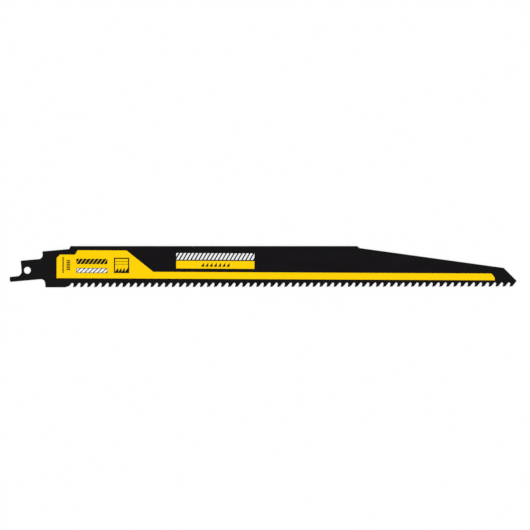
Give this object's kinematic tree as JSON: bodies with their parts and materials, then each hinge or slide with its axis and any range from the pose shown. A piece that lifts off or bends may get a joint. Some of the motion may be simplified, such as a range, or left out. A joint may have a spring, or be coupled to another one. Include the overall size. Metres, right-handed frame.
{
  "type": "reciprocating saw blade",
  "caption": "Long reciprocating saw blade with a canted universal tang, coarse carbide-tipped teeth, tapered nose and printed yellow stripe.",
  "frame": {"origin": "centre of the hole in the tang, on the middle plane of the sheet", "axes": "+X along the blade towards the nose, +Y towards the back edge, +Z out of the printed face; the blade lies flat on its plain face"},
  "size_m": [0.3047, 0.0249, 0.0018],
  "materials": {
    "black_coating": "satin black coating on alloy steel",
    "carbide": "dark coated tungsten carbide, ground",
    "yellow_ink": "screen-printed ink",
    "white_ink": "screen-printed ink, of the small print that only the visual model has",
    "black_ink": "screen-printed ink, of the small print that only the visual model has"
  },
  "bodies": {
    "root": {"blade_body": "black_coating", "carbide_tips": "carbide", "yellow_print": "yellow_ink"}
  },
  "joints": []
}
